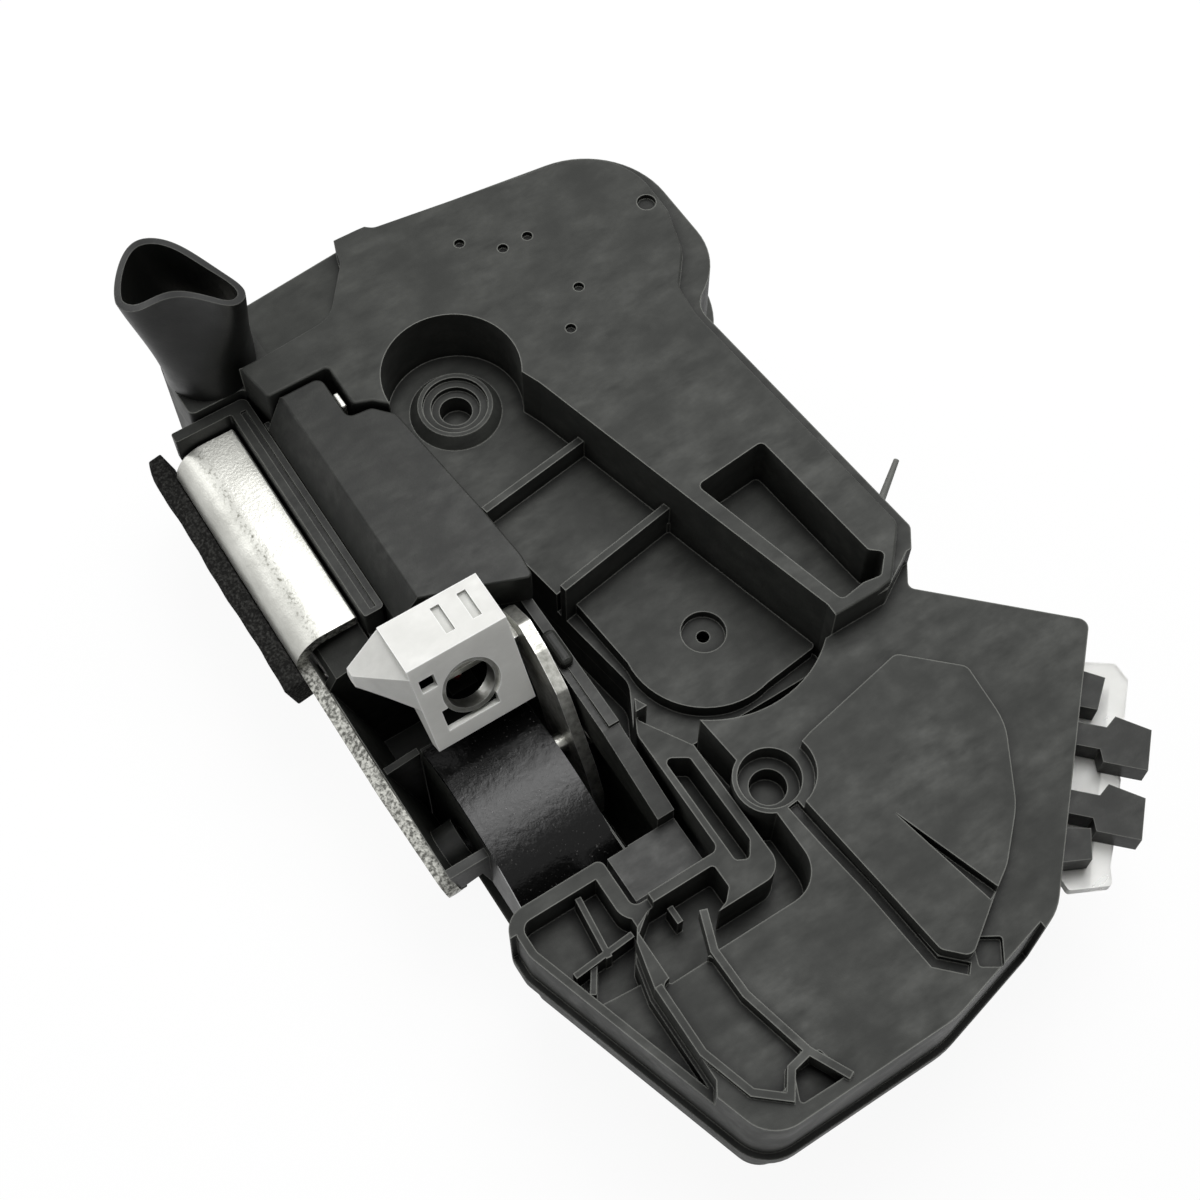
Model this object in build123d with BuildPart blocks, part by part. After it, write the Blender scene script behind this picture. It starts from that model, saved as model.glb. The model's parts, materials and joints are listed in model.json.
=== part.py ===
from build123d import *
import os
from math import cos, sin, radians

os.makedirs("parts", exist_ok=True)

# Car door latch with its lock actuator casing, in millimetres.
# The latch plate leans on the X axis: its middle screw hole is the origin, X runs
# along the plate and Z points out of the broad outboard face of the casing.

# ---------------------------------------------------------------- driving sizes
wall = 2.2                  # moulded wall of the casing halves
seat_gap = 0.25             # gap between neighbouring bodies that move
run_gap = 0.06              # radial clearance of a pin in its bore

# levels of the casing, above the origin screw
part_line = 12.0            # where the front cover meets the rear housing
cover_top = 40.0
wing_top = 32.0
fan_rise = 3.2              # raised fan pad on the wing
recess_floor = 25.5
pad_floor = 22.0
channel_floor = 18.2
rib_top = 31.0
case_bottom = -12.0
wing_bottom = -4.0          # rear housing under the wing
bulge_bottom = -19.0        # connector and motor dome under the casing

# plan of the casing
arm_left = -117.0
arm_right = -98.5
arm_foot_y = 3.2
arm_top = 32.0              # seat of the key funnel
arm_bottom = -2.0           # rear housing under the arm
body_left_y = 54.0
long_edge_left = (-62.0, 102.7)
long_edge_right = (4.0, 108.0)
wing_peak = (37.0, 127.0)
wing_side_x = 86.0
wing_corner = (wing_side_x - 6.5, 84.5)
bead_height = 2.8           # bead along the part line of the wing
bead_width = 1.3
lip_drop = 2.2              # lowered lip around the body
body_end_x = 12.7           # end wall of the body on the wing
latch_side_y = 41.5         # casing edge along the latch housing
shelf_top = 4.0             # rear housing shelf that carries the latch
strip_top = 29.0
trough_wall_top = 26.0
step_floor = 29.5
ridge_height = 1.0          # ridges on the wing and beside the step
pocket_floor = 26.5
key_axis = (-108.0, 12.5)
key_radius = 5.5
motor_axis_y = 92.0
motor_axis_z = 2.0
motor_radius = 11.0
motor_flat = 8.5
motor_left = -106.5
motor_length = 30.0
worm_radius = 4.0
worm_x = motor_left + motor_length + 14.5
wheel_radius = 15.2
wheel_thick = 6.0
wheel_bottom = -2.0
pinion_radius = 5.0
sector_radius = 24.5
axle_radius = 2.0
post_radius = 3.8           # screw posts of the casing
screw_pilot_r = 1.4
screw_head_r = 3.0
screw_head_h = 2.0
screw_length = 24.0
gasket_height = 1.0
socket_x = -20.0            # mouth of the connector
socket_z = 1.0
socket_width = 26.0
socket_height = 14.0
hook_reach = 26.2           # from the wing peak to the middle of the snap hooks
hook_top = 26.0
hook_bottom = 21.0
link_thick = 2.2            # inside release link
release_pivot = (-4.0, 12.0)  # x and z of the release lever pin
release_y = 33.0
release_thick = 2.5
dome_center = (-86.0, 98.0)
dome_radius = 22.5
dome_drop = 3.0             # top of the motor dome under the part line
pad_center = (-5.0, 66.5)
pad_radius = 16.5
pad_channel = 7.1
boss_center = (-74.0, 51.0)
boss_radius = 7.8
boss_rise = 2.6             # ring of the boss above the recess floor
boss_steps = ((6.8, 1.1), (5.1, 2.4), (3.4, 7.3))  # radius and depth of its stepped bore
recess_radius = 14.2
wing_hole = (30.5, 56.5)
wing_hole_radius = 6.0

# latch plate and its mechanism, in the plane of the plate
plate_lean = 13.5           # degrees from square to the casing
plate_thick = 2.7
plate_left = -97.0
plate_right = 11.0
plate_bottom = -21.0
plate_step = 17.5           # height of the bare plate edge beside the flange
flange_left = -95.0
flange_right = -43.0
flange_top = 26.0
flange_edge_y = 10.0
flange_bend = 7.0
mouth_x = -62.0             # striker mouth
mouth_width = 14.0
mouth_end = 3.0
mouth_flare = 7.0
screw_minor_r = 2.5         # tapped M6
screw_left = (-91.0, 8.0)
screw_low = (-91.0, -14.0)
fork_pivot = (-76.0, 0.0)
fork_thick = 5.0
fork_reach = 18.2
fork_hub = 7.0
fork_closed_angle = -16.0   # degrees, slot towards the caught striker
fork_open = -48.0           # degrees from closed to open
pawl_pivot = (-45.5, 4.0)
pawl_hub = 6.0
pivot_r = 3.0
back_plate_thick = 2.0
mech_gap = 0.5              # gap each side of the fork and pawl

# latch housing
tray_depth = 15.0           # from the outer face of the plate to the tray back
tray_right = -36.0
latch_bottom = -21.0
latch_wall_y = 40.0
latch_end_x = 24.0
lid_top = 39.0
saddle_center_x = 1.0       # crowned steel saddle
saddle_radius = 38.0
saddle_top = 20.5
saddle_thick = 1.2
saddle_left = -15.0
saddle_right = 24.2
saddle_y = (7.6, 29.7)


# ---------------------------------------------------------------- shared shapes
def area(points, radius):
    """Flat area inside a closed outline with rounded corners."""
    with BuildSketch() as made:
        with BuildLine():
            FilletPolyline(*points, radius=radius, close=True)
        make_face()
    return made.sketch


def sharp(points):
    """Flat area inside a closed outline with sharp corners."""
    with BuildSketch() as made:
        Polygon(*points, align=None)
    return made.sketch

def disc(center, radius):
    """Round flat area."""
    with BuildSketch() as made:
        with Locations(center):
            Circle(radius)
    return made.sketch


def inset(shape, amount):
    """Flat area drawn in from its outline by a wall."""
    with BuildSketch() as made:
        add(shape)
        offset(amount=-amount)
    return made.sketch

def level(z):
    """Horizontal sketch plane at a height."""
    return Plane.XY.offset(z)


lean = radians(plate_lean)
plate_plane = Plane(origin=(0, 0, 0), x_dir=(1, 0, 0), z_dir=(0, -cos(lean), -sin(lean)))


def depth(d):
    """Plane parallel to the latch plate, d inward from its outer face."""
    return plate_plane.offset(-d)


case_area = area(
    [
        (arm_left, arm_foot_y), (arm_right, arm_foot_y), (arm_right, 15.5), (-88.6, 17), (-88.6, 30.6),
        (-78, 30.6), (-76.6, 34.2), (-72.6, 38.2), (-5, 49), (9, latch_side_y),
        (36, latch_side_y), (36, 23), (25, 23), (25, 1), (34, 1), (wing_side_x, 18),
        (wing_side_x, 58), wing_corner, wing_peak, (12.5, 102), long_edge_right,
        long_edge_left, (-70, 113.8), (-108.5, 113.8), (-116, body_left_y),
    ],
    [6, 1.5, 1.5, 1, 1, 1, 1.5, 2, 5, 3, 1.5, 1.5, 1.5, 5, 5, 9, 20, 12, 2, 1.5, 2, 6, 16, 20, 40],
)
body_area = area(
    [
        (arm_left - 5, -5), (-80, -5), (-60, 30), (body_end_x, 30), (body_end_x, 96),
        (8, 104), (8, 125), (arm_left - 5, 125),
    ],
    0.5,
)
# top of the body inside its lowered lip
crown_area = area(
    [
        (arm_left - 3, -10), (30, -10), (30, 90), (body_end_x + 0.5, 90), (body_end_x - 0.5, 97),
        (2.8, 105.5), (-59, 100.6), (-67, 101.5), (-74.5, 107.5), (-85, 110.8), (-106.5, 111.4),
        (-114.6, 56), (arm_left - 3, 50),
    ],
    [1, 1, 1, 0.5, 2, 3, 8, 5, 6, 3, 16, 3, 1],
)
# lower seat of the key funnel on the arm
with BuildPart() as arm_step:
    with BuildSketch(level(arm_top - 1)):
        add(area(
            [(arm_left - 5, -8), (arm_right + 0.6, -8), (arm_right + 0.6, 21),
             (arm_right - 0.6, 37), (-110, 45.5), (arm_left - 5, 49)],
            [1, 1, 6, 7, 5, 1]))
    extrude(amount=14)
    with BuildSketch(Plane.YZ.offset(arm_left - 6)):
        Polygon((-9, arm_top), (23.5, arm_top), (50, 36.2), (50, 46), (-9, 46), align=None)
    extrude(amount=40, mode=Mode.INTERSECT)
recess_area = area(
    [(-62, 64.6), (-22, 75), (10, 83.5), (30, 83.5), (30, 30), (-74, 30), (-74, 60)],
    1,
)
wing_cut = disc(pad_center, pad_radius + pad_channel)
pad_moat = wing_cut & sharp([(-62, 30), (-62, 64.6), (-22, 75), (10, 83.5), (40, 83.5), (40, 30)])
# outer band of the wing above the bead of the part line
bead_band = (case_area - inset(case_area, bead_width)) & sharp(
    [(29, -5), (95, -5), (95, 81), (70, 81), (70, 25), (40, 14), (29, 8)])
pad_area = area(
    [(-26, 48.5), (-5, 50.4), (-5, 60), (11, 70), (9.5, 83.4), (-30.5, 72.8)], 1
) + disc(pad_center, pad_radius)

fan_area = area(
    [
        (28, 67), (23.6, 90), (33, 99.8), (46, 98.6), (60, 90), (68, 81.5), (71, 76.5),
        (78, 66), (74, 62), (38, 58.3), (30, 60),
    ],
    [1.5, 2, 2, 14, 18, 10, 1.2, 2, 2, 1.5, 1],
) - disc(wing_hole, wing_hole_radius + 2.4)
fan_moat = [(37, 57.1), (46, 58), (58, 59.5), (74.6, 60.8), (79, 65.2)]
wing_ridges = (
    ([(45, 31.8), (52.2, 29.2), (61.6, 29.4), (75.6, 32.8), (83, 36.5)], 1.5),
    ([(52.2, 17.4), (66, 17.4), (76.2, 20.6), (80.4, 25.6), (76.4, 28.6), (75.6, 32.8)], 1.5),
)

# ---------------------------------------------------------------- front cover
wheel_center = (worm_x, motor_axis_y - worm_radius - wheel_radius - seat_gap)
lever_center = (wheel_center[0] + pinion_radius + sector_radius, wheel_center[1])

wing_lower_fields = {
    "strip": (area([(6, 36), (34, 36), (34, 20), (45.8, 20), (45.8, 49.3), (6, 49.3)],
                   [0.5, 0.5, 0.5, 0.5, 4, 0.5]), strip_top),
    "channel": (area([(6, 51.5), (27, 53.6), (52.3, 53.6), (52.3, 20), (45.8, 20), (45.8, 49.3),
                      (16.5, 49.3), (6, 43)], [0.5, 8, 7, 0.5, 0.5, 4, 0.5, 0.5])
                - disc(wing_hole, wing_hole_radius + 1), channel_floor),
    "strip_recess": (area([(15.5, 42.9), (18.2, 47.2), (37.5, 47.4), (40.6, 45.2), (39.4, 42.9)], 1),
                     channel_floor + 2),
    "well": (area([(38, 25.2), (38, 39), (43, 39), (45, 37), (47, 31.5), (50, 20), (42, 20)],
                  0.8), channel_floor),
    "low_wall": (area([(20, -6), (20, 26), (37.9, 26), (41, 19.3), (52, 16.8), (71, 16.8),
                       (80, 11), (80, -6)], 0.5), trough_wall_top),
    "trough": (inset(case_area, 1.6 + bead_width) & sharp(
        [(27, 0), (27, 21.5), (39.5, 21.5), (45, 17.6), (52, 16), (80, 16), (80, 0)]),
               channel_floor),
    "step": (area([(51.9, 18), (51.9, 28.4), (60, 29.2), (75, 32.5), (76, 28), (79.6, 25.4),
                   (76, 21), (66, 18)], 2), step_floor),
    "corner_window": (area([(76.6, 29), (82.2, 26.5), (82.4, 36), (76.2, 34.6)], 0.6),
                      step_floor - 3),
    "edge_window": (area([(74.6, 69), (77.4, 73.6), (82, 70.5), (79.6, 66.8)], 0.6),
                    step_floor + 1),
}
case_inside = inset(case_area, wall)
tie_pin_radius = 0.9
tie_pin_seat = Plane(origin=(-4.2, 106.4, 30), z_dir=(-5, 7, 0))
screw_posts = {
    (-108, 62): case_bottom, (worm_x + 17, 96.5): case_bottom, (0, 102.5): case_bottom,
    (75, 50): wing_bottom, (37, 114): wing_bottom,
}
post_discs = [(boss_center, 6.5), (wing_hole, 8.2), (pad_center, 6.7)]
post_discs += [(center, post_radius) for center in screw_posts]
recess_ribs = (((-47.5, 42), (-51.3, 68)), ((-24, 45), (-28.8, 74)))

with BuildPart() as front_cover:
    with BuildSketch(level(part_line)):
        add(case_area)
        add(body_area, mode=Mode.INTERSECT)
    extrude(amount=cover_top - part_line)
    add(arm_step.part, mode=Mode.SUBTRACT)
    with BuildSketch(level(cover_top)):
        add(body_area)
        add(crown_area, mode=Mode.SUBTRACT)
    extrude(amount=-lip_drop, mode=Mode.SUBTRACT)
    fillet(front_cover.faces().sort_by(Axis.Z)[-1].edges(), radius=0.5)
    # long recess with its boss, cells and pad
    with BuildSketch(level(cover_top + 1)):
        add(recess_area)
        add(disc(boss_center, recess_radius))
    extrude(amount=recess_floor - cover_top - 1, mode=Mode.SUBTRACT)
    with BuildSketch(level(recess_floor + 1)):
        add(pad_moat)
        with BuildLine():
            Polyline((-25, 38), (-30, 72.3), (10, 83.5), (30, 83.5), (30, 38), close=True)
        make_face()
    extrude(amount=channel_floor - recess_floor - 1, mode=Mode.SUBTRACT)
    with BuildSketch(level(channel_floor)):
        add(pad_area)
        add(case_area, mode=Mode.INTERSECT)
    extrude(amount=pad_floor - channel_floor)
    for start, end in recess_ribs:
        with BuildSketch(level(channel_floor)):
            with BuildLine():
                Line(start, end)
            trace(line_width=1.6)
            add(case_area, mode=Mode.INTERSECT)
        extrude(amount=rib_top - channel_floor)
    # pocket at the end of the body
    with BuildSketch(level(cover_top + 1)):
        add(area([(-25, 77.6), (-26.5, 94), (4.6, 97), (6.6, 99.4), (10.4, 95.8), (9.8, 92),
                  (10.6, 86.5)], [1.2, 1.2, 1, 1, 1, 1, 1.2]))
    extrude(amount=pocket_floor - cover_top - 1, mode=Mode.SUBTRACT)
    # the wing, lower than the body, with its fields
    with BuildSketch(level(part_line)):
        add(case_area)
        add(body_area, mode=Mode.SUBTRACT)
        with BuildLine():
            Polyline((-5, 41), (21, 41), (21, 83.5), (14, 83.5), (5, 60), close=True)
        make_face()
        add(pad_moat, mode=Mode.SUBTRACT)
        add(case_area, mode=Mode.INTERSECT)
    extrude(amount=wing_top - part_line)
    for outline, floor in wing_lower_fields.values():
        with BuildSketch(level(wing_top + 5)):
            add(outline)
        extrude(amount=floor - wing_top - 5, mode=Mode.SUBTRACT)
    with BuildSketch(level(part_line + bead_height)):
        add(bead_band)
    extrude(amount=cover_top - part_line, mode=Mode.SUBTRACT)
    with BuildSketch(level(wing_top)):
        with BuildLine():
            Polyline(*fan_moat)
        trace(line_width=2.2)
    extrude(amount=-1.4, mode=Mode.SUBTRACT)
    with BuildSketch(level(wing_top)):
        add(fan_area)
    extrude(amount=fan_rise)
    for points, width in wing_ridges:
        with BuildSketch(level(step_floor - 1)):
            with BuildLine():
                Polyline(*points)
            trace(line_width=width)
            add(inset(case_area, bead_width), mode=Mode.INTERSECT)
        extrude(amount=wing_top + ridge_height - step_floor + 1)
    # raised end of the trough
    with BuildSketch(level(channel_floor)):
        add(wing_lower_fields["trough"][0])
        with BuildLine():
            Polyline((46, -5), (48.5, 25), (85, 25), (85, -5), close=True)
        make_face(mode=Mode.INTERSECT)
    extrude(amount=4)
    with BuildSketch(level(wing_top + fan_rise)):
        with BuildLine():
            Polyline((49, 70.6), (70.5, 77.6), (71.5, 75), close=True)
        make_face()
    extrude(amount=-2.6, mode=Mode.SUBTRACT)
    # ribs standing in the well and the trough
    for start, end, top in (
        ((28.5, 15.8), (41, 14.6), 24), ((40.6, 7.5), (39.6, 20.5), 24), ((40, 12), (45, 8.6), 23),
        ((39, 29), (42.5, 29), 24),
    ):
        with BuildSketch(level(channel_floor)):
            with BuildLine():
                Line(start, end)
            trace(line_width=1.2)
        extrude(amount=top - channel_floor)
    # hollow underside, one cavity for each level
    with BuildSketch(level(part_line)):
        add(case_inside)
    extrude(amount=channel_floor - wall - part_line, mode=Mode.SUBTRACT)
    body_cavity = sharp(
        [(-113.5, 49), (-90.8, 49), (-88, 62), (-76, 68), (-60, 68.4), (-28.6, 76.6),
         (-28.8, 96.3), (5, 99.6), (4, 105), (-62, 100), (-70, 112), (-107, 112)]
    ) & inset(crown_area, wall)
    recess_cavity = sharp([(-86, 43.5), (-72, 43), (-52.5, 45.3), (-54, 63.4), (-82, 60)])
    middle_cavity = sharp([(-44, 46.5), (-30, 48), (-34, 69), (-48, 65)])
    pad_cavity = sharp([(-22, 51.5), (-4, 53), (7, 60), (8, 78), (-26, 70)])
    pocket_cavity = sharp([(-22, 80.5), (-23, 92), (6, 94.5), (7.5, 89)])
    wing_cavity = sharp(
        [(22, 68), (25, 57), (45, 57.5), (56, 49), (56, 36.5), (72, 39), (83.5, 41),
         (83.5, 57), (77, 82.5), (37, 122), (18.5, 103), (18, 88)])
    for outline, roof in (
        (body_cavity, cover_top), (recess_cavity, recess_floor), (middle_cavity, recess_floor),
        (pad_cavity, pad_floor), (pocket_cavity, pocket_floor), (wing_cavity, wing_top),
        (sharp([(-114.5, 6), (-101, 6), (-101, 46), (-113.8, 50)]), arm_top),
    ):
        with BuildSketch(level(part_line)):
            add(outline)
            for center, radius in post_discs:
                add(disc(center, radius), mode=Mode.SUBTRACT)
            add(case_inside, mode=Mode.INTERSECT)
        extrude(amount=roof - wall - part_line, mode=Mode.SUBTRACT)
    # screw bosses: ring, step and blind floor
    with Locations((*boss_center, recess_floor)):
        Cone(boss_radius + 1.8, boss_radius, boss_rise,
             align=(Align.CENTER, Align.CENTER, Align.MIN))
    for radius, drop in boss_steps:
        with Locations((*boss_center, recess_floor + boss_rise)):
            Hole(radius, drop)
    with Locations((*wing_hole, wing_top)):
        CounterBoreHole(3.6, wing_hole_radius, 4.4, 9.4)
    with Locations((*pad_center, pad_floor)):
        CounterBoreHole(1.3, 4.5, 2.2, 6)
    # ejector and locating pits on the broad face
    for center, radius in (
        ((-101, 69), 1.1), ((-95, 76), 1.1), ((-95, 82), 1.1), ((-78, 84), 1.1),
        ((-70, 77), 1.1), ((-89, 108), 2),
    ):
        with Locations((*center, cover_top)):
            Hole(radius, 1.2)
    for center in screw_posts:
        with Locations((*center, part_line)):
            Cylinder(screw_pilot_r, 14, align=(Align.CENTER, Align.CENTER, Align.MIN),
                     mode=Mode.SUBTRACT)
    with BuildSketch(tie_pin_seat):
        Circle(tie_pin_radius)
    extrude(amount=4, mode=Mode.SUBTRACT)
    # bore for the key coupling
    with Locations((*key_axis, arm_top)):
        Hole(key_radius + run_gap, 6)
front_cover.part.label = "front_cover"
export_step(front_cover.part, "parts/front_cover.step")

# ---------------------------------------------------------------- rear housing
rear_main = case_area & sharp(
    [(-97, 22), (20, 22), (20, 130), (-125, 130), (-125, 47), (-97, 47)])
rear_arm = case_area & sharp([(-125, -5), (-96, -5), (-96, 50), (-125, 50)])
rear_wing = inset(case_area, 3) & sharp([(17, -5), (95, -5), (95, 130), (17, 130)])
gasket_area = inset(rear_main + rear_arm, 0.6) - inset(rear_main + rear_arm, 1.5)
shelf_area = sharp([(-68, 40.25), (24, 40.25), (24, 50), (-5, 51), (-68, 43)])
dome_area = disc(dome_center, dome_radius)

with BuildPart() as rear_housing:
    for outline, bottom, top in (
        (rear_main, case_bottom, part_line), (rear_arm, arm_bottom, part_line),
        (rear_wing, wing_bottom, part_line), (shelf_area, -shelf_top, shelf_top),
        (dome_area, bulge_bottom, part_line - dome_drop),
    ):
        with BuildSketch(level(bottom)):
            add(outline)
        extrude(amount=top - bottom)
    for outline, bottom in (
        (inset(rear_main, wall), case_bottom), (inset(rear_arm, wall), arm_bottom),
        (inset(rear_wing, wall), wing_bottom), (disc(dome_center, dome_radius - wall), bulge_bottom),
    ):
        with BuildSketch(level(bottom + wall)):
            add(outline)
            for center in screw_posts:
                add(disc(center, post_radius), mode=Mode.SUBTRACT)
        extrude(amount=part_line + 1 - bottom - wall, mode=Mode.SUBTRACT)
    # roof of the motor dome beside the casing, and the casing wall above it
    roof_bottom = part_line - dome_drop - wall
    for outline, top in ((dome_area, part_line - dome_drop), (rear_main & dome_area, part_line)):
        with BuildSketch(level(roof_bottom)):
            add(outline)
            add(inset(rear_main, wall), mode=Mode.SUBTRACT)
        extrude(amount=top - roof_bottom)
    for center, bottom in screw_posts.items():
        with Locations((*center, bottom)):
            Cylinder(screw_pilot_r + 0.2, 60, mode=Mode.SUBTRACT)
            Cylinder(screw_head_r + 0.3, 2 * screw_head_h, mode=Mode.SUBTRACT)
    # posts for the worm wheel and the lock lever
    for center in (wheel_center, lever_center):
        with Locations((*center, case_bottom)):
            Cylinder(axle_radius + 2, wheel_bottom - seat_gap - case_bottom,
                     align=(Align.CENTER, Align.CENTER, Align.MIN))
            Cylinder(axle_radius, 40, mode=Mode.SUBTRACT)
    # cradle of the motor
    for x in (dome_center[0] - 14, dome_center[0] + 2):
        with BuildSketch(Plane.YZ.offset(x)):
            with Locations((motor_axis_y, bulge_bottom + 1)):
                Rectangle(20, 16.5, align=(Align.CENTER, Align.MIN))
            with Locations((motor_axis_y, motor_axis_z)):
                Circle(motor_radius + run_gap, mode=Mode.SUBTRACT)
        extrude(amount=2)
    # mouth of the connector in the inboard wall
    with BuildSketch(Plane.XZ.offset(-120)):
        with Locations((socket_x, socket_z)):
            Rectangle(socket_width, socket_height)
    extrude(amount=26, mode=Mode.SUBTRACT)
    # groove of the gasket
    with BuildSketch(level(part_line - gasket_height)):
        add(gasket_area)
    extrude(amount=gasket_height, mode=Mode.SUBTRACT)
rear_housing.part.label = "rear_housing"
export_step(rear_housing.part, "parts/rear_housing.step")

with BuildPart() as tie_pin:
    with BuildSketch(tie_pin_seat):
        Circle(tie_pin_radius)
    extrude(amount=15, taper=1.2)
tie_pin.part.label = "tie_pin"
export_step(tie_pin.part, "parts/tie_pin.step")

with BuildPart() as cover_screws:
    for center, bottom in screw_posts.items():
        with Locations((*center, bottom)):
            Cylinder(screw_head_r, screw_head_h, align=(Align.CENTER, Align.CENTER, Align.MIN))
            Cylinder(screw_pilot_r - 0.05, screw_length,
                     align=(Align.CENTER, Align.CENTER, Align.MIN))
            Cylinder(1.2, 2, mode=Mode.SUBTRACT)
cover_screws.part.label = "cover_screws"
export_step(cover_screws.part, "parts/cover_screws.step")

# ---------------------------------------------------------------- latch plate
def mouth_area(grow):
    """Striker mouth in the plane of the plate, drawn out by grow."""
    half = mouth_width / 2 + grow
    with BuildSketch() as made:
        with Locations((mouth_x, mouth_end - mouth_width / 2)):
            Circle(half)
        Polygon(
            (mouth_x - half, mouth_end - mouth_width / 2), (mouth_x + half, mouth_end - mouth_width / 2),
            (mouth_x + half, plate_bottom + 9), (mouth_x + half + mouth_flare, plate_bottom - 6),
            (mouth_x - half - mouth_flare, plate_bottom - 6), (mouth_x - half, plate_bottom + 9),
            align=None,
        )
    return made.sketch

flange_inner = flange_top - plate_thick
plate_run = plate_thick / cos(lean)
slope = sin(lean) / cos(lean)

with BuildPart() as latch_plate:
    with BuildSketch(depth(0)):
        add(area(
            [(plate_left, plate_bottom), (-7, plate_bottom), (6.5, -4), (plate_right, 10),
             (9, 13), (-11, plate_step + 0.5), (plate_left, plate_step + 0.5)],
            [4, 6, 8, 3, 3, 6, 1]))
    extrude(amount=-plate_thick)
    with BuildSketch(Plane.YZ.offset(flange_left)):
        add(area(
            [(-10 * slope, 10), (-flange_top * slope, flange_top), (flange_edge_y, flange_top),
             (flange_edge_y, flange_inner), (plate_run - flange_inner * slope, flange_inner),
             (plate_run - 10 * slope, 10)],
            [0.1, flange_bend, 0.5, 0.5, flange_bend - plate_thick, 0.1]))
    extrude(amount=flange_right - flange_left)
    with BuildSketch(depth(-5)):
        add(mouth_area(0))
        for center in ((0, 0), screw_left, screw_low):
            add(disc(center, screw_minor_r))
        for center in (fork_pivot, pawl_pivot):
            add(disc(center, pivot_r - 0.6))
    extrude(amount=-10, mode=Mode.SUBTRACT)
latch_plate.part.label = "latch_plate"
export_step(latch_plate.part, "parts/latch_plate.step")

# ---------------------------------------------------------------- latch housing
pocket_back = tray_depth - 2
tray_top = 19.5
chamber_y = 17.2
front_y = saddle_y[0]
deck_z = 16.0
box_top = 21.0
ledge_z = 22.6
wall_crown = 30.0
lever_wall_y = release_y + release_thick + 0.8

def plate_y(z, d):
    """Y of the plane d inward from the plate at a height."""
    return (d - z * sin(lean)) / cos(lean)

def across(x, points):
    """Outline drawn in the plane square to X."""
    with BuildSketch(Plane.YZ.offset(x)) as made:
        Polygon(*points, align=None)
    return made.sketch

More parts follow.
